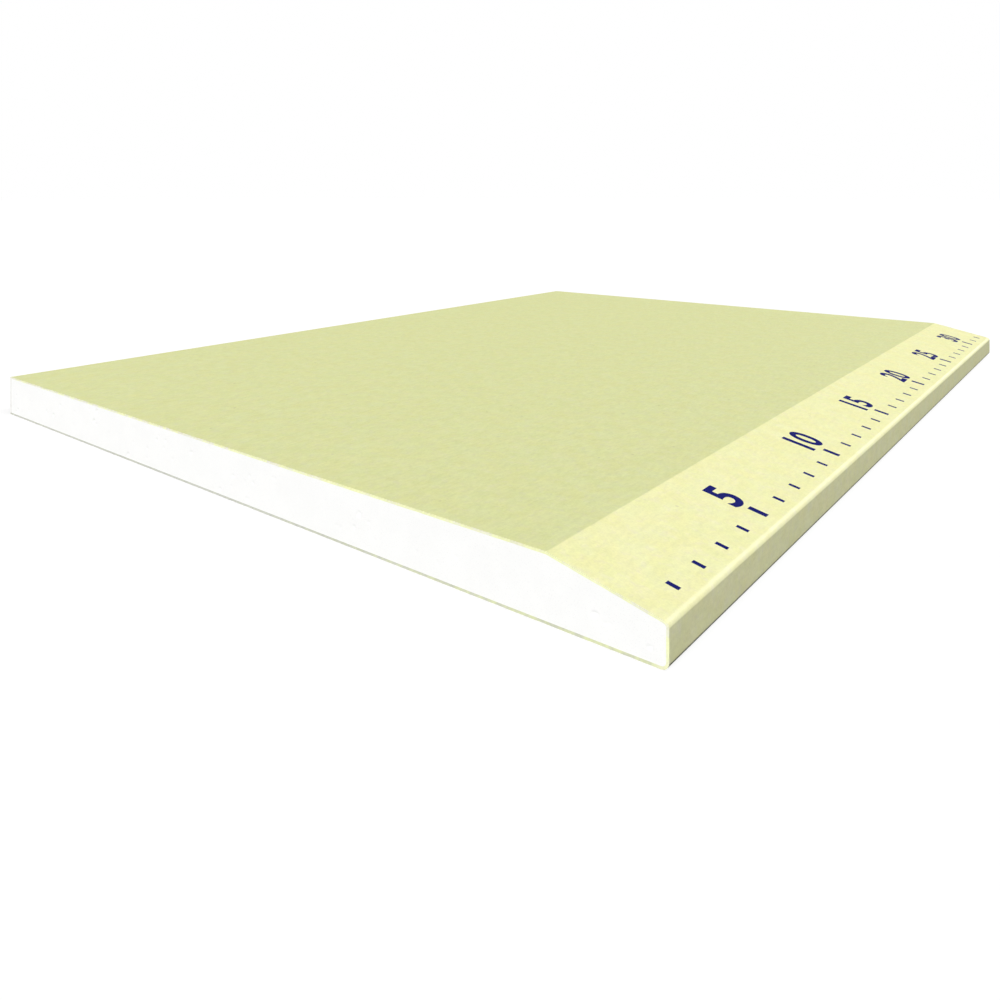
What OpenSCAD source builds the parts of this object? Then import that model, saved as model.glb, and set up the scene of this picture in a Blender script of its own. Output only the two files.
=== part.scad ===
// Tapered-edge drywall sheet: a foamed gypsum core between a face paper and a back paper.
// It lies flat with its face up. X runs across the sheet to the tapered edge, Y along that
// edge and Z up from the back. The origin is the middle of the back.

/* [Sheet] */
// Width from the cut edge to the tapered edge
sheet_width = 245; // [100:1:1250]
// Length along the tapered edge
sheet_length = 328; // [50:1:3600]
// Thickness of the flat part
sheet_thickness = 12.5; // [9.5:0.5:18]

/* [Tapered edge] */
// Width of the sloping band
taper_width = 23.2; // [12:0.1:80]
// Drop of the sloping band from the face to the edge
taper_drop = 4.9; // [0.6:0.1:6]
// Outer rounding between the sloping band and the edge
top_radius = 1.1; // [0.8:0.1:2.5]
// Outer rounding between the edge and the back
bottom_radius = 1.4; // [0.8:0.1:2.5]

/* [Paper] */
// Thickness of each paper
paper_thickness = 0.5; // [0.2:0.05:0.6]
// Flat strip of face paper under the sheet, from the edge rounding to the back paper
fold_width = 1.6; // [0.5:0.1:25]

/* [Hidden] */
$fn = 96;

// Both long edges of the sheet, and the crease where the face starts to slope
cut_edge_x = -sheet_width / 2;
tapered_edge_x = sheet_width / 2;
crease_x = tapered_edge_x - taper_width;

// Slope of the band, and its height at any x
slope = atan(taper_drop / taper_width);
function band_z(x) = sheet_thickness - (x - crease_x) * tan(slope);

// Centres of the two edge roundings, seen along the sheet
top_centre_x = tapered_edge_x - top_radius;
top_centre = [top_centre_x, band_z(top_centre_x) - top_radius / cos(slope)];
bottom_centre = [tapered_edge_x - bottom_radius, bottom_radius];

// Directions square to the band, the edge and the back
off_band = [sin(slope), cos(slope)];
off_edge = [1, 0];
off_back = [0, -1];

// Where the folded face paper and the back paper meet
seam_x = bottom_centre.x - fold_width;

// Each arc is this much over, so that rounded figures leave no step beside it
hair = 0.0002;

// Sharp corner that an arc rounds between the directions a and b
function corner(centre, radius, a, b) = centre + radius * (a + b) / (1 + a * b);

// Outline a given depth inside the face paper, from the cut edge over the face, down the
// band and round the edge
function wrap_points(depth) = [
    [cut_edge_x, sheet_thickness - depth],
    [crease_x - depth * tan(slope / 2), sheet_thickness - depth],
    corner(top_centre, top_radius - depth, off_band, off_edge),
    corner(bottom_centre, bottom_radius - depth, off_edge, off_back)
];

// What lies outside the arc that rounds a corner, from the direction a round to b
module corner_waste(centre, radius, a, b) {
    reach = 2 * radius;
    difference() {
        polygon([
            centre + radius * a,
            centre + reach * a,
            corner(centre, reach, a, b),
            centre + reach * b,
            centre + radius * b
        ]);
        translate(centre) circle(r = radius + hair);
    }
}

// An outline with its two corners at the tapered edge rounded
module round_edge(depth) {
    difference() {
        children();
        corner_waste(top_centre, top_radius - depth, off_band, off_edge);
        corner_waste(bottom_centre, bottom_radius - depth, off_edge, off_back);
    }
}

module core_outline() {
    round_edge(paper_thickness)
        polygon(concat(wrap_points(paper_thickness), [[cut_edge_x, paper_thickness]]));
}

// The core with its face paper on, which folds under as far as the seam
module wrapped_outline() {
    round_edge(0)
        polygon(concat(wrap_points(0), [
            [seam_x, 0],
            [seam_x, paper_thickness],
            [cut_edge_x, paper_thickness]
        ]));
}

// A section drawn across the sheet, run along its whole length
module along_sheet() {
    rotate([90, 0, 0])
        linear_extrude(height = sheet_length, center = true)
            children();
}

module gypsum_core() {
    color([0.97, 0.97, 0.95])
        along_sheet()
            core_outline();
}

// One sheet of paper over the face, down the band, round the edge and under the back
module face_paper() {
    color([0.88, 0.89, 0.67])
        along_sheet()
            difference() {
                wrapped_outline();
                core_outline();
            }
}

module back_paper() {
    color([0.78, 0.77, 0.72])
        along_sheet()
            translate([cut_edge_x, 0])
                square([seam_x - cut_edge_x, paper_thickness]);
}

gypsum_core();
face_paper();
back_paper();
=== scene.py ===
# Drywall sheet with one tapered, paper-wrapped edge, lying face up
import math
import bmesh
import bpy
import numpy as np
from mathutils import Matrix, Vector


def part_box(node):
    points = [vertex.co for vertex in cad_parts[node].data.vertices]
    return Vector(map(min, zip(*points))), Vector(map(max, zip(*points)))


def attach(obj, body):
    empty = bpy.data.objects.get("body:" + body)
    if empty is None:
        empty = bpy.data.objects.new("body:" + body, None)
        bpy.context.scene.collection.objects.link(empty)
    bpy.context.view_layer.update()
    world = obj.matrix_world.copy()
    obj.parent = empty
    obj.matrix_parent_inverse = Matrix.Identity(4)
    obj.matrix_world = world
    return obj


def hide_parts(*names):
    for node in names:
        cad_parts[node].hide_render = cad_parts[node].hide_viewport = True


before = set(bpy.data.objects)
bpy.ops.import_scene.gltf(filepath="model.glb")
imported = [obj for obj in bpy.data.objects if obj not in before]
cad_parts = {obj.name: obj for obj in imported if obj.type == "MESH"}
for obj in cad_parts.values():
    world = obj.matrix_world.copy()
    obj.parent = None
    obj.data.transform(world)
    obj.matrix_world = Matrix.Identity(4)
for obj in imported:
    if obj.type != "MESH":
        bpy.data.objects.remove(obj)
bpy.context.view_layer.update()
mm = 0.001
squareCmPerSquareM = 1e4

# Sheet sizes: what the frame shows is read from it, the rest is the same as in the solids
faceLow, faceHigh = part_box("face_paper")
coreLow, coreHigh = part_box("gypsum_core")
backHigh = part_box("back_paper")[1]
cutEdgeX, taperedEdgeX = faceLow.x, faceHigh.x
nearY, farY = faceLow.y, faceHigh.y
sheetTop = faceHigh.z
paperThick = backHigh.z
seamX = backHigh.x  # where the folded face paper and the back paper meet
taper = {
    "width": 23.2 * mm,
    "drop": 4.9 * mm,
    "topRadius": 1.1 * mm,
    "bottomRadius": 1.4 * mm,
}
creaseX = taperedEdgeX - taper["width"]
slope = math.atan2(taper["drop"], taper["width"])
topCentreX = taperedEdgeX - taper["topRadius"]
bandOverCentre = sheetTop - (topCentreX - creaseX) * math.tan(slope)
topCentreZ = bandOverCentre - taper["topRadius"] / math.cos(slope)
bottomCentreX = taperedEdgeX - taper["bottomRadius"]
bottomCentreZ = taper["bottomRadius"]


# Mesh helpers
def straight(a, b, step):
    count = max(1, round(math.dist(a, b) / step))
    return [(a[0] + (b[0] - a[0]) * i / count, a[1] + (b[1] - a[1]) * i / count) for i in range(count)]


def arc(centre, radius, startAngle, endAngle, count):
    angles = [startAngle + (endAngle - startAngle) * i / count for i in range(count)]
    return [(centre[0] + radius * math.cos(a), centre[1] + radius * math.sin(a)) for a in angles]


def addObject(name, data):
    made = bpy.data.objects.new(name, data)
    bpy.context.scene.collection.objects.link(made)
    return made


def makePiece(name, points, faces, patches):
    # Edges between two patches stay sharp, and the rest shade smooth
    mesh = bpy.data.meshes.new(name)
    mesh.from_pydata(points, [], faces)
    work = bmesh.new()
    work.from_mesh(mesh)
    work.faces.ensure_lookup_table()
    for face in work.faces:
        face.smooth = True
    for edge in work.edges:
        ids = {patches[face.index] for face in edge.link_faces}
        edge.smooth = len(ids) == 1
    bmesh.ops.recalc_face_normals(work, faces=work.faces[:])
    work.to_mesh(mesh)
    work.free()
    return addObject(name, mesh)


# Camera, level and shifted down as the photograph's upright edges ask
photoSize = 1000
view = {
    "place": (180.406 * mm, -279.489 * mm, 73.238 * mm),
    "turn": math.radians(38.282),
    "focalPixels": 819.874,
    "horizonPixel": 198.074,
    "sensor": 36.0,
    "clip": (0.005, 60.0),
}


def addCamera():
    data = bpy.data.cameras.new("photoCamera")
    data.sensor_width = view["sensor"]
    data.sensor_fit = "HORIZONTAL"
    data.lens = view["focalPixels"] / photoSize * view["sensor"]
    data.shift_y = (view["horizonPixel"] - photoSize / 2) / photoSize
    data.clip_start, data.clip_end = view["clip"]
    camera = addObject("photoCamera", data)
    camera.location = view["place"]
    camera.rotation_euler = (math.pi / 2, 0, view["turn"])
    bpy.context.scene.camera = camera
    print("camera set, lens", round(data.lens, 2), "mm")


# Node helpers
white = (1, 1, 1, 1)
allNoise = (0.25, 0.75)  # values between which nearly all of a noise lies
midNoise = (0.35, 0.65)  # and its middle part, for softer patches


def newMaterial(name):
    material = bpy.data.materials.new(name)
    material.use_nodes = True
    tree = material.node_tree
    tree.nodes.clear()
    return material, tree


def node(tree, kind, inputs=None, **settings):
    made = tree.nodes.new(kind)
    for key, value in settings.items():
        setattr(made, key, value)
    for key, value in (inputs or {}).items():
        if isinstance(value, bpy.types.NodeSocket):
            tree.links.new(value, made.inputs[key])
        else:
            made.inputs[key].default_value = value
    return made


def sheetPlace(tree):
    return node(tree, "ShaderNodeTexCoord").outputs["Object"]


def sheetAxes(tree, place):
    return node(tree, "ShaderNodeSeparateXYZ", {0: place}).outputs


def math2(tree, operation, a, b):
    return node(tree, "ShaderNodeMath", {0: a, 1: b}, operation=operation).outputs[0]


def ramp(tree, value, start, end, low=0.0, high=1.0):
    inputs = {"Value": value, "From Min": start, "From Max": end, "To Min": low, "To Max": high}
    return node(tree, "ShaderNodeMapRange", inputs, interpolation_type="SMOOTHSTEP").outputs["Result"]


def beside(position, distances):
    return [position + distance for distance in distances]


def atEnds(tree, axes, start, full):
    # 0 along the sheet and 1 at both ends, between two distances from the end
    fromMiddle = math2(tree, "ABSOLUTE", axes[1], 0.0)
    return ramp(tree, fromMiddle, farY - start, farY - full)


def mixColour(tree, share, a, b, blend="MIX"):
    # The colours of this node are its sockets 6 and 7, and its output 2
    made = node(tree, "ShaderNodeMix", {0: share, 6: a, 7: b}, data_type="RGBA", blend_type=blend)
    return made.outputs[2]


def tinted(tree, colour, share, tint):
    return mixColour(tree, share, colour, tint, "MULTIPLY")


def scaleColour(tree, colour, factor):
    grey = node(tree, "ShaderNodeCombineColor", {0: factor, 1: factor, 2: factor}).outputs[0]
    return tinted(tree, colour, 1.0, grey)


def stretched(tree, place, scale):
    return node(tree, "ShaderNodeMapping", {"Vector": place, "Scale": scale}).outputs[0]


def noise(tree, place, scale, detail=3.0, roughness=0.55):
    inputs = {"Vector": place, "Scale": scale, "Detail": detail, "Roughness": roughness}
    return node(tree, "ShaderNodeTexNoise", inputs).outputs[0]


def fromDots(tree, place, scale):
    # Distance from the nearest of many scattered dots, in cells
    return node(tree, "ShaderNodeTexVoronoi", {"Vector": place, "Scale": scale}).outputs["Distance"]


def bumped(tree, colour, relief, look):
    inputs = {"Height": relief, "Strength": look["bump"], "Distance": look["bumpDepth"]}
    bump = node(tree, "ShaderNodeBump", inputs).outputs[0]
    return node(tree, "ShaderNodeBsdfPrincipled", {"Base Color": colour, "Normal": bump})


def setFinish(shader, look):
    shader.inputs["Roughness"].default_value = look["roughness"]
    shader.inputs["Specular IOR Level"].default_value = look["gloss"]


def toSurface(tree, shader):
    out = node(tree, "ShaderNodeOutputMaterial")
    tree.links.new(shader.outputs[0], out.inputs[0])


# Paper pieces: an outer and an inner line across the sheet, run along it
papers = {
    "acrossStep": 1.2 * mm,
    "rows": 44,
    "arcSteps": 14,
    "frayDepth": 0.09 * mm,
    "frayRarity": 3,  # the higher, the fewer deep ones
    "seed": 11,
    "cutDepth": (0.12 * mm, 0.1 * mm),  # how far in from an end the tone of the cut reaches
    "fleckSize": (0.05, 0.16),  # in cells, as are specks and pores
}


def wrapLine(depth):
    # From the cut edge over the face, down the band, round the edge and under to the seam
    step = papers["acrossStep"]
    topR, bottomR = taper["topRadius"] - depth, taper["bottomRadius"] - depth
    upper = math.pi / 2 - slope
    edgeX = taperedEdgeX - depth
    crease = (creaseX - depth * math.tan(slope / 2), sheetTop - depth)
    bandEnd = (topCentreX + topR * math.cos(upper), topCentreZ + topR * math.sin(upper))
    groups = [
        (straight((cutEdgeX, sheetTop - depth), crease, step), "face"),
        (straight(crease, bandEnd, step), "band"),
        (arc((topCentreX, topCentreZ), topR, upper, 0, papers["arcSteps"]), "band"),
        (straight((edgeX, topCentreZ), (edgeX, bottomCentreZ), step), "band"),
        (arc((bottomCentreX, bottomCentreZ), bottomR, 0, -math.pi / 2, papers["arcSteps"]), "band"),
        (straight((bottomCentreX, depth), (seamX, depth), step), "band"),
    ]
    points = [p for part, _ in groups for p in part] + [(seamX, depth)]
    tags = [tag for part, tag in groups for _ in part]
    return points, tags


def paperPiece(name, outer, inner, tags):
    draw = np.random.default_rng(papers["seed"])
    across, rows = len(outer), papers["rows"]
    ys = np.linspace(nearY, farY, rows)
    points = np.zeros((2, rows, across, 3))
    for side, line in enumerate((outer, inner)):
        points[side, :, :, 0] = [p[0] for p in line]
        points[side, :, :, 2] = [p[1] for p in line]
        points[side, :, :, 1] = ys[:, None]
        # The cut ends are a little ragged, always inwards
        fray = draw.random((2, across)) ** papers["frayRarity"] * papers["frayDepth"]
        points[side, 0, :, 1] += fray[0]
        points[side, -1, :, 1] -= fray[1]

    def at(side, row, i):
        return (side * rows + row) * across + i

    faces, patches = [], []
    for row in range(rows - 1):
        for i in range(across - 1):
            for side in (0, 1):
                here, beyond = at(side, row, i), at(side, row + 1, i)
                faces.append((here, here + 1, beyond + 1, beyond))
                patches.append((side, tags[i]))
        for i, tag in ((0, "start"), (across - 1, "stop")):
            faces.append((at(0, row, i), at(1, row, i), at(1, row + 1, i), at(0, row + 1, i)))
            patches.append((2, tag))
    for row, tag in ((0, "near"), (rows - 1, "far")):
        for i in range(across - 1):
            faces.append((at(0, row, i), at(0, row, i + 1), at(1, row, i + 1), at(1, row, i)))
            patches.append((2, tag))
    return makePiece(name, points.reshape(-1, 3).tolist(), faces, patches)


def paperGrain(tree, place, look):
    # Cloudy formation, fibres along the sheet and a few short flecks, as a factor round 1
    clouds = noise(tree, place, look["cloudScale"])
    grain = noise(tree, place, look["grainScale"], detail=4.0, roughness=0.7)
    fibres = noise(tree, stretched(tree, place, look["fibreStretch"]), look["fibreScale"])
    flecks = fromDots(tree, stretched(tree, place, look["fleckStretch"]), look["fleckScale"])
    total = ramp(tree, flecks, *papers["fleckSize"], -look["flecks"], 0.0)
    for value, size in ((clouds, look["clouds"]), (grain, look["grain"]), (fibres, look["fibres"])):
        total = math2(tree, "ADD", total, ramp(tree, value, *allNoise, -size, size))
    factor = math2(tree, "ADD", total, 1.0)
    relief = math2(tree, "ADD", grain, fibres)
    return factor, relief


# Face paper: pale yellow-green on the flat, lighter on the band, glossier on the rounded edge with a
# painted highlight in its colour there, and painted shade down the edge and at its foot
facePaperLook = {
    "flat": (0.706, 0.737, 0.361, 1),
    "band": (0.871, 0.872, 0.457, 1),
    # painted highlight: the lighter, whiter colour of the rounded top of the edge
    "rounding": (0.905, 0.905, 0.50, 1),
    # painted shade: the darker colour of the upright side of the tapered edge, below the rounding
    "edge": (0.695, 0.703, 0.412, 1),
    "foot": (0.19, 0.195, 0.15, 1),  # painted shade: a dark line low on the edge, where it turns under
    "creaseBlend": (-0.2 * mm, 0.3 * mm),  # across the crease
    "roundingBlend": 0.4,  # share of the top radius
    "edgeShadeBlend": (-0.2 * mm, -0.1 * mm),  # from the tapered edge
    "edgeShadeTop": (0.25 * mm, -0.1 * mm),  # from the height of the top rounding's centre
    "footShadeTop": (1.3 * mm, 0.95 * mm),
    "footShadeBottom": (0.1 * mm, 0.4 * mm),
    "cutTones": ((0.80, 0.80, 0.635, 1), (0.85, 0.88, 0.50, 1)),  # by the cut edge and by the band
    "cutScale": 300.0,
    "cutPatches": 0.8,  # how far patches shift the share of the second tone
    "cutFold": (0.70, 0.75, 0.46, 1),
    "cutFoldReach": 2.2 * mm,  # from the seam
    "cutFoldTop": (1.2 * mm, 0.6 * mm),
    "mottles": (  # tint, scale, and the noise values between which it comes in
        ((1.012, 1.012, 1.09, 1), 230.0, midNoise),
        ((1.014, 0.992, 0.975, 1), 190.0, midNoise),
        ((1.0, 0.985, 1.10, 1), 620.0, (0.5, 0.72)),
    ),
    "speck": (0.87, 0.85, 0.92, 1),
    "speckScale": 110.0,
    "speckSize": (0.055, 0.03),
    "cloudScale": 260.0,
    "clouds": 0.014,
    "grainScale": 2200.0,
    "grain": 0.045,
    "fibreStretch": (1.0, 0.35, 1.0),
    "fibreScale": 1100.0,
    "fibres": 0.03,
    "fleckStretch": (1.0, 0.35, 1.0),
    "fleckScale": 420.0,
    "flecks": 0.04,
    "bump": 0.12,
    "bumpDepth": 0.05 * mm,
    "roughness": (0.85, 0.5),  # plain and burnished, as is gloss
    "gloss": (0.04, 0.35),
}


def faceCutTone(tree, place, axes):
    # The cut ends: two tones in patches, and a greener one where the paper is folded under
    look = facePaperLook
    toBand = ramp(tree, axes[0], cutEdgeX, creaseX)
    patches = noise(tree, place, look["cutScale"])
    patches = ramp(tree, patches, *midNoise, -look["cutPatches"], look["cutPatches"])
    cut = mixColour(tree, math2(tree, "ADD", toBand, patches), *look["cutTones"])
    atFold = ramp(tree, axes[0], seamX, seamX + look["cutFoldReach"], 1.0, 0.0)
    atFold = math2(tree, "MULTIPLY", atFold, ramp(tree, axes[2], *look["cutFoldTop"]))
    return mixColour(tree, atFold, cut, look["cutFold"])


def facePaperMaterial():
    material, tree = newMaterial("facePaper")
    look = facePaperLook
    place = sheetPlace(tree)
    axes = sheetAxes(tree, place)
    onBand = ramp(tree, axes[0], *beside(creaseX, look["creaseBlend"]))
    turning = ramp(tree, axes[0], topCentreX, topCentreX + look["roundingBlend"] * taper["topRadius"])
    upperHalf = ramp(tree, axes[2], bottomCentreZ, topCentreZ)
    onRounding = math2(tree, "MULTIPLY", turning, upperHalf)
    outermost = ramp(tree, axes[0], *beside(taperedEdgeX, look["edgeShadeBlend"]))
    onShadedEdge = ramp(tree, axes[2], *beside(topCentreZ, look["edgeShadeTop"]))
    onShadedEdge = math2(tree, "MULTIPLY", onShadedEdge, outermost)
    onFootShade = ramp(tree, axes[2], *look["footShadeTop"])
    onFootShade = math2(tree, "MULTIPLY", onFootShade, ramp(tree, axes[2], *look["footShadeBottom"]))
    colour = mixColour(tree, onBand, look["flat"], look["band"])
    # Painted highlight on the rounding, then painted shade down the edge below it and at its foot
    colour = mixColour(tree, onRounding, colour, look["rounding"])
    colour = mixColour(tree, onShadedEdge, colour, look["edge"])
    colour = mixColour(tree, onFootShade, colour, look["foot"])
    onCut = atEnds(tree, axes, *papers["cutDepth"])
    colour = mixColour(tree, onCut, colour, faceCutTone(tree, place, axes))
    for tint, scale, limits in look["mottles"]:
        share = ramp(tree, noise(tree, place, scale, detail=2.0), *limits)
        colour = tinted(tree, colour, share, tint)
    specks = ramp(tree, fromDots(tree, place, look["speckScale"]), *look["speckSize"])
    colour = tinted(tree, colour, specks, look["speck"])
    grain, relief = paperGrain(tree, place, look)
    shader = bumped(tree, scaleColour(tree, colour, grain), relief, look)
    burnished = math2(tree, "SUBTRACT", onRounding, onShadedEdge)
    for key, values in (("Roughness", look["roughness"]), ("Specular IOR Level", look["gloss"])):
        tree.links.new(ramp(tree, burnished, 0, 1, *values), shader.inputs[key])
    toSurface(tree, shader)
    return material


def addFacePaper():
    outer, tags = wrapLine(0.0)
    inner, _ = wrapLine(paperThick)
    piece = paperPiece("facePaper", outer, inner, tags)
    piece.data.materials.append(facePaperMaterial())
    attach(piece, "root")
    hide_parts("face_paper")
    print("face paper made,", len(piece.data.polygons), "faces")


# Back paper: plain grey recycled liner
backPaperLook = {
    "tone": (0.52, 0.50, 0.44, 1),
    "cutTones": ((0.545, 0.55, 0.51, 1), (0.71, 0.75, 0.44, 1)),  # by the cut edge and by the band
    "cutShares": (0.15, 1.0),  # of the second tone, at the middle of the sheet and at the tapered edge
    "cutScale": 420.0,
    "cutLimits": (0.38, 0.62),
    "cutPatches": (0.4, 1.0),  # part of that share, between patches and in them
    "cloudScale": 70.0,
    "clouds": 0.03,
    "grainScale": 1200.0,
    "grain": 0.05,
    "fibreStretch": (1.0, 0.12, 1.0),
    "fibreScale": 800.0,
    "fibres": 0.04,
    "fleckStretch": (1.0, 0.35, 1.0),
    "fleckScale": 260.0,
    "flecks": 0.18,
    "bump": 0.2,
    "bumpDepth": 0.05 * mm,
    "roughness": 0.8,
    "gloss": 0.2,
}


def backPaperMaterial():
    material, tree = newMaterial("backPaper")
    look = backPaperLook
    place = sheetPlace(tree)
    axes = sheetAxes(tree, place)
    patches = ramp(tree, noise(tree, place, look["cutScale"]), *look["cutLimits"], *look["cutPatches"])
    toBand = ramp(tree, axes[0], 0.0, taperedEdgeX, *look["cutShares"])
    cut = mixColour(tree, math2(tree, "MULTIPLY", patches, toBand), *look["cutTones"])
    onCut = atEnds(tree, axes, *papers["cutDepth"])
    colour = mixColour(tree, onCut, look["tone"], cut)
    grain, relief = paperGrain(tree, place, look)
    shader = bumped(tree, scaleColour(tree, colour, grain), relief, look)
    setFinish(shader, look)
    toSurface(tree, shader)
    return material


def addBackPaper():
    step = papers["acrossStep"]
    lines = [straight((cutEdgeX, z), (seamX, z), step) + [(seamX, z)] for z in (0.0, paperThick)]
    piece = paperPiece("backPaper", lines[0], lines[1], ["back"] * (len(lines[0]) - 1))
    piece.data.materials.append(backPaperMaterial())
    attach(piece, "root")
    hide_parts("back_paper")
    print("back paper made,", len(piece.data.polygons), "faces")


# Printed scale on the band: a tick every centimetre, and every fifth is longer and has its number
edgeScale = {
    "ink": (0.0125, 0.0155, 0.150, 1),
    "worn": (1.35, 1.35, 1.12, 1),
    "wornScale": 900.0,
    "wornLimits": (0.45, 0.75),  # noise values between which the ink thins
    "pitch": 10 * mm,
    "longEvery": 5,
    "tickFoot": 20.6 * mm,  # down the band from the crease, as is numberFoot
    "tick": (1.1 * mm, 2.5 * mm),  # width and length, as is longTick
    "longTick": (1.6 * mm, 4.0 * mm),
    "numberFoot": 15.0 * mm,
    "numberSize": 11.4 * mm,
    "boldness": 0.3 * mm,
    "sunk": 0.012 * mm,  # into the paper
    "proud": 0.018 * mm,  # out of it
    "weld": 0.0005 * mm,
    "roughness": 0.9,
    "gloss": 0.02,
}


def onBandPlane(along, down, out):
    # A place on the band: along the sheet from its middle, down from the crease, and out of the paper
    x = creaseX + down * math.cos(slope) + out * math.sin(slope)
    z = sheetTop - down * math.sin(slope) + out * math.cos(slope)
    return (x, along, z)


def addTick(work, along, width, length):
    corners = []
    foot = edgeScale["tickFoot"]
    for out in (-edgeScale["sunk"], edgeScale["proud"]):
        for side, down in ((-0.5, 0), (0.5, 0), (0.5, -length), (-0.5, -length)):
            corners.append(work.verts.new(onBandPlane(along + side * width, foot + down, out)))
    work.faces.new(corners[4:])
    work.faces.new(corners[3::-1])
    for i in range(4):
        j = (i + 1) % 4
        work.faces.new((corners[i], corners[j], corners[4 + j], corners[4 + i]))


def addNumber(work, along, number):
    data = bpy.data.curves.new("number", "FONT")
    data.body = str(number)
    data.size = edgeScale["numberSize"]
    data.offset = edgeScale["boldness"]
    data.align_x = "CENTER"
    data.extrude = (edgeScale["sunk"] + edgeScale["proud"]) / 2
    digits = addObject("number", data)
    solid = digits.evaluated_get(bpy.context.evaluated_depsgraph_get())
    mesh = bpy.data.meshes.new_from_object(solid)
    middle = (edgeScale["proud"] - edgeScale["sunk"]) / 2
    for vertex in mesh.vertices:
        right, up, out = vertex.co
        vertex.co = onBandPlane(along + right, edgeScale["numberFoot"] - up, middle + out)
    work.from_mesh(mesh)
    bpy.data.meshes.remove(mesh)
    bpy.data.objects.remove(digits)
    bpy.data.curves.remove(data)


def inkMaterial():
    material, tree = newMaterial("ink")
    thin = noise(tree, sheetPlace(tree), edgeScale["wornScale"], detail=4.0)
    thin = ramp(tree, thin, *edgeScale["wornLimits"])
    colour = tinted(tree, edgeScale["ink"], thin, edgeScale["worn"])
    shader = node(tree, "ShaderNodeBsdfPrincipled", {"Base Color": colour})
    setFinish(shader, edgeScale)
    toSurface(tree, shader)
    return material


def addEdgeScale():
    work = bmesh.new()
    last = int((farY - nearY - edgeScale["pitch"] / 2) / edgeScale["pitch"])
    for step in range(1, last + 1):
        along = nearY + step * edgeScale["pitch"]
        isLong = step % edgeScale["longEvery"] == 0
        addTick(work, along, *edgeScale["longTick" if isLong else "tick"])
        if isLong:
            addNumber(work, along, step)
    bmesh.ops.remove_doubles(work, verts=work.verts[:], dist=edgeScale["weld"])
    bmesh.ops.recalc_face_normals(work, faces=work.faces[:])
    mesh = bpy.data.meshes.new("edgeScale")
    work.to_mesh(mesh)
    work.free()
    piece = addObject("edgeScale", mesh)
    piece.data.materials.append(inkMaterial())
    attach(piece, "root")
    print("scale printed,", len(mesh.polygons), "faces")


# Gypsum core: its two ends and its cut edge are fine grids with open air bubbles
core = {
    "cell": 0.34 * mm,
    "turns": 10,  # steps round the edge
    "bubblesPerSquareCm": 2.5,
    "bubbleRadius": (0.25 * mm, 0.65 * mm),
    "bubbleRarity": 4,  # the higher, the fewer large ones
    "bubbleDepth": 0.4,  # share of a bubble's width
    "recess": 0.05 * mm,  # of the bare gypsum behind the ends of the papers
    "cornerWear": 0.12 * mm,
    "wearRarity": 2,
    "rim": 0.6 * mm,  # margin of a cut face where bubbles fade out
    "seed": 5,
    "tone": (0.92, 0.92, 0.908, 1),
    # painted shade along the corners where the cut edge meets the ends
    "corner": (0.80, 0.80, 0.76, 1),
    "cornerAcross": (0.9 * mm, 0.3 * mm),  # from the cut edge
    "cornerAlong": (0.9 * mm, 0.4 * mm),  # from an end
    "dust": 0.008,
    "dustScale": 160.0,
    "dustLimits": (0.3, 0.7),
    "poreScale": 2600.0,
    "poreSize": (0.12, 0.3),
    # painted shade: how much the colour darkens inside the pores
    "pores": 0.06,
    "bump": 0.25,
    "bumpDepth": 0.08 * mm,
    "roughness": 0.9,
    "gloss": 0.1,
}
coreCreaseX = creaseX - paperThick * math.tan(slope / 2)


def coreTop(x):
    r = taper["topRadius"] - paperThick
    if x <= coreCreaseX:
        return sheetTop - paperThick
    if x <= topCentreX + r * math.sin(slope):
        return sheetTop - paperThick - (x - coreCreaseX) * math.tan(slope)
    return topCentreZ + math.sqrt(max(0.0, r * r - (x - topCentreX) ** 2))


def coreBottom(x):
    r = taper["bottomRadius"] - paperThick
    if x <= bottomCentreX:
        return paperThick
    return bottomCentreZ - math.sqrt(max(0.0, r * r - (x - bottomCentreX) ** 2))


def coreColumns():
    # Even steps, with the crease kept and closer steps round the edge
    turnX = min(topCentreX, bottomCentreX)
    xs = [p[0] for p in straight((cutEdgeX, 0), (coreCreaseX, 0), core["cell"])]
    xs += [p[0] for p in straight((coreCreaseX, 0), (turnX, 0), core["cell"])]
    reach = taperedEdgeX - paperThick - turnX
    xs += [turnX + reach * math.sin(math.pi / 2 * i / core["turns"]) for i in range(core["turns"] + 1)]
    return np.array(xs)


def bubbleField(draw, us, vs):
    # Depth of open bubbles at the points (us, vs) of a cut face, in metres
    field = np.zeros(us.shape)
    area = (us.max() - us.min()) * (vs.max() - vs.min())
    count = int(area * squareCmPerSquareM * core["bubblesPerSquareCm"])
    small, large = core["bubbleRadius"]
    for _ in range(count):
        u = draw.uniform(us.min(), us.max())
        v = draw.uniform(vs.min(), vs.max())
        r = small + (large - small) * draw.random() ** core["bubbleRarity"]
        near = np.flatnonzero(np.abs(us[:, 0] - u) <= r)
        if len(near) == 0:
            continue
        rows = slice(near[0], near[-1] + 1)
        gone = 1 - ((us[rows] - u) ** 2 + (vs[rows] - v) ** 2) / (r * r)
        bowl = np.sqrt(np.clip(gone, 0, 1)) * 2 * r * core["bubbleDepth"]
        field[rows] = np.maximum(field[rows], bowl)
    return field


def awayFromRim(values, low, high):
    # 0 on the rim of a cut face, 1 further in
    return np.clip(np.minimum(values - low, high - values) / core["rim"], 0, 1)


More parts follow.
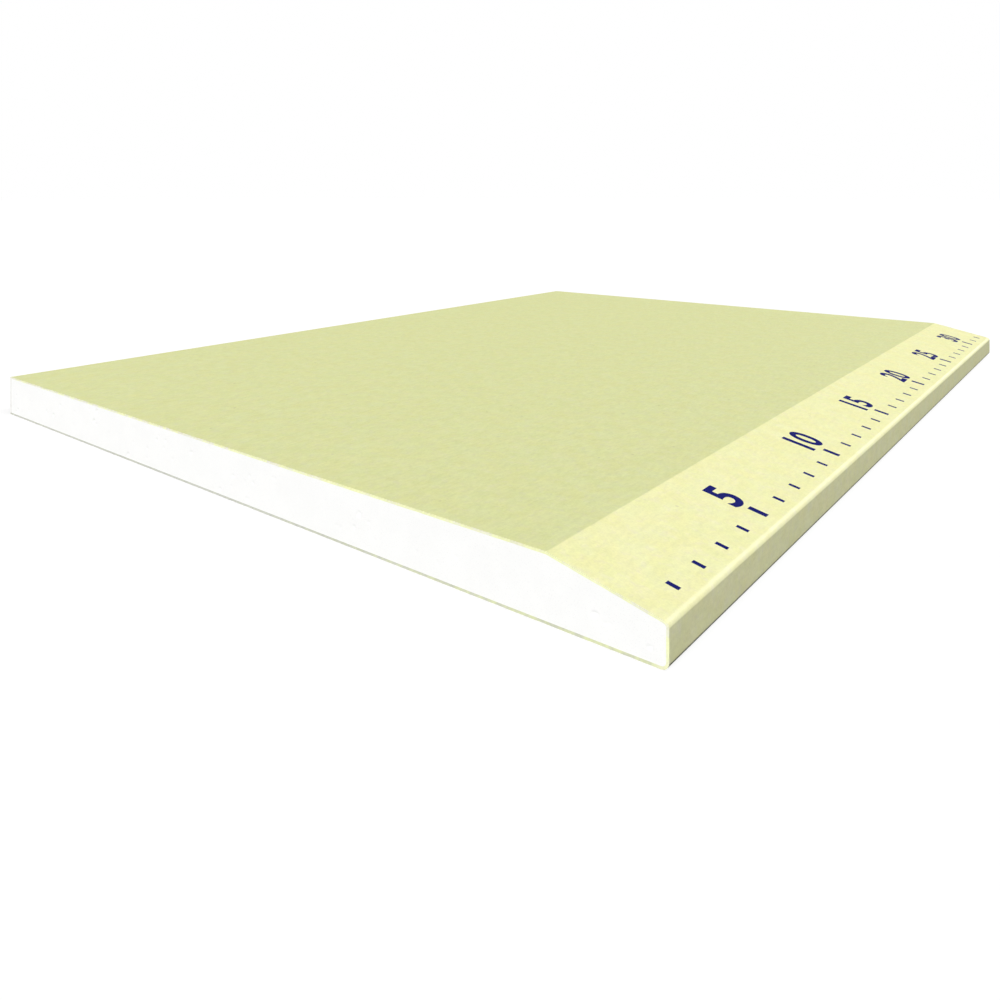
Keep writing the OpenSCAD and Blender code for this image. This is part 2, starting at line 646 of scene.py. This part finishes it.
def gypsumMaterial():
    material, tree = newMaterial("gypsum")
    place = sheetPlace(tree)
    axes = sheetAxes(tree, place)
    dust = noise(tree, place, core["dustScale"], detail=5.0)
    dusty = ramp(tree, dust, *core["dustLimits"], 1 - core["dust"], 1 + core["dust"])
    pores = fromDots(tree, place, core["poreScale"])
    # Pores: painted shade darkening each one, and the same values give their bump
    poreShadeAndRelief = ramp(tree, pores, *core["poreSize"], 1 - core["pores"], 1.0)
    # Painted shade along the corners where the cut edge meets the ends
    acrossCorner = ramp(tree, axes[0], *beside(cutEdgeX, core["cornerAcross"]))
    alongCorner = atEnds(tree, axes, *core["cornerAlong"])
    atShadedCorner = math2(tree, "MULTIPLY", acrossCorner, alongCorner)
    colour = tinted(tree, core["tone"], atShadedCorner, core["corner"])
    colour = scaleColour(tree, colour, math2(tree, "MULTIPLY", poreShadeAndRelief, dusty))
    shader = bumped(tree, colour, math2(tree, "ADD", poreShadeAndRelief, dust), core)
    setFinish(shader, core)
    toSurface(tree, shader)
    return material


def addGypsumCore():
    draw = np.random.default_rng(core["seed"])
    xs = coreColumns()
    levels = max(2, round((coreHigh.z - coreLow.z) / core["cell"])) + 1
    ys = np.linspace(nearY, farY, round((farY - nearY) / core["cell"]) + 1)
    low = np.array([coreBottom(x) for x in xs])
    high = np.array([coreTop(x) for x in xs])
    zs = low[:, None] + (high - low)[:, None] * np.linspace(0, 1, levels)[None, :]
    xx = np.repeat(xs[:, None], levels, 1)
    rim = awayFromRim(zs, low[:, None], high[:, None]) * awayFromRim(xx, xs[0], xs[-1])
    wear = core["cornerWear"] * draw.random((2, levels)) ** core["wearRarity"]

    points, faces, patches = [], [], []
    ends = []
    for end, (y, inward) in enumerate(((nearY, 1), (farY, -1))):
        depth = core["recess"] + bubbleField(draw, xx, zs) * rim
        block = np.stack([xx, y + inward * depth, zs], 2)
        block[0, :, 0] += wear[end]
        ends.append(len(points) + np.arange(len(xs) * levels).reshape(len(xs), levels))
        points += block.reshape(-1, 3).tolist()
    middle = ys[1:-1]
    yy = np.repeat(middle[:, None], levels, 1)
    zz = np.repeat(zs[:1], len(middle), 0)
    side = awayFromRim(zz, low[0], high[0]) * awayFromRim(yy, nearY, farY)
    inset = (core["recess"] + bubbleField(draw, yy, zz)) * side
    cut = len(points) + np.arange(len(middle) * levels).reshape(len(middle), levels)
    points += np.stack([cutEdgeX + inset, yy, zz], 2).reshape(-1, 3).tolist()

    def addGrid(index, patch):
        quads = np.stack([index[:-1, :-1], index[1:, :-1], index[1:, 1:], index[:-1, 1:]], 2)
        quads = quads.reshape(-1, 4).tolist()
        faces.extend(quads)
        patches.extend([patch] * len(quads))

    near, far = ends
    addGrid(near, "near")
    addGrid(far, "far")
    addGrid(np.concatenate([near[:1], cut, far[:1]]), "cut")
    for level, patch in ((0, "under"), (levels - 1, "top")):
        strip = near[:2, level].tolist() + far[:2, level][::-1].tolist() + cut[::-1, level].tolist()
        faces.append(strip)
        patches.append(patch)
        for i in range(1, len(xs) - 1):
            faces.append((near[i, level], near[i + 1, level], far[i + 1, level], far[i, level]))
            patches.append(patch)
    for j in range(levels - 1):
        faces.append((near[-1, j], near[-1, j + 1], far[-1, j + 1], far[-1, j]))
        patches.append("edge")
    faces = [tuple(int(i) for i in face) for face in faces]
    piece = makePiece("gypsumCore", points, faces, patches)
    piece.data.materials.append(gypsumMaterial())
    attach(piece, "root")
    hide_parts("gypsum_core")
    print("gypsum core made,", len(piece.data.polygons), "faces")


# Studio: white floor and world, lamps in front, over the tapered edge and behind the sheet, and two
# low ones that fill the cut edge and the far end
studio = {
    "floorSize": 30.0,
    "floorDrop": 0.02 * mm,
    "floorTone": (0.35, 0.35, 0.35, 1),  # for the light it sends back
    "floorShown": (0.25, 0.25, 0.25, 1),  # as seen, with its glow
    "floorGlow": 0.79,
    "world": 0.25,  # as light
    "worldShown": 1.0,  # as seen
    "lamps": {  # level 1 lights a white surface that faces it to white, and spread is in radians
        "front": {"aim": (0.0, 0.97, -0.26), "level": 0.79, "spread": 0.5},
        "over": {"aim": (-0.6, 0.0, -0.8), "level": 0.395, "spread": 0.5},
        "rim": {"aim": (-0.35, -0.75, -0.56), "level": 0.35, "spread": 0.4},
        "cutFill": {"aim": (0.98, -0.18, -0.03), "level": 0.36, "spread": 0.2},
        "farFill": {"aim": (0.15, -0.98, -0.03), "level": 0.2, "spread": 0.2},
    },
}


def seenShare(tree):
    # 1 for what the camera, reflections and clear things see, 0 for the light that falls on the sheet
    path = node(tree, "ShaderNodeLightPath").outputs
    seen = math2(tree, "MAXIMUM", path["Is Camera Ray"], path["Is Glossy Ray"])
    return math2(tree, "MAXIMUM", seen, path["Is Transmission Ray"])


def addWorld():
    world = bpy.data.worlds.new("studio")
    bpy.context.scene.world = world
    world.use_nodes = True
    tree = world.node_tree
    tree.nodes.clear()
    level = ramp(tree, seenShare(tree), 0, 1, studio["world"], studio["worldShown"])
    background = node(tree, "ShaderNodeBackground", {"Color": white, "Strength": level})
    out = node(tree, "ShaderNodeOutputWorld")
    tree.links.new(background.outputs[0], out.inputs[0])


def addFloor():
    size = studio["floorSize"]
    mesh = bpy.data.meshes.new("floor")
    corners = [(x * size, y * size, 0) for x, y in ((-1, -1), (1, -1), (1, 1), (-1, 1))]
    mesh.from_pydata(corners, [], [(0, 1, 2, 3)])
    floor = addObject("floor", mesh)
    floor.location.z = -studio["floorDrop"]
    material, tree = newMaterial("floor")
    plain = node(tree, "ShaderNodeBsdfDiffuse", {"Color": studio["floorTone"]}).outputs[0]
    bright = node(tree, "ShaderNodeBsdfDiffuse", {"Color": studio["floorShown"]}).outputs[0]
    glow = node(tree, "ShaderNodeEmission", {"Color": white, "Strength": studio["floorGlow"]}).outputs[0]
    shown = node(tree, "ShaderNodeAddShader", {0: bright, 1: glow}).outputs[0]
    toSurface(tree, node(tree, "ShaderNodeMixShader", {0: seenShare(tree), 1: plain, 2: shown}))
    floor.data.materials.append(material)


def addLamps():
    for name, lamp in studio["lamps"].items():
        data = bpy.data.lights.new(name, "SUN")
        data.energy = lamp["level"] * math.pi
        data.angle = lamp["spread"]
        light = addObject(name, data)
        light.rotation_euler = Vector(lamp["aim"]).to_track_quat("-Z", "Y").to_euler()


def addStudio():
    addWorld()
    addFloor()
    addLamps()
    print("studio lit,", len(studio["lamps"]), "lamps")


bpy.context.scene.view_settings.view_transform = "Standard"
addCamera()
addStudio()
addGypsumCore()
addFacePaper()
addBackPaper()
addEdgeScale()
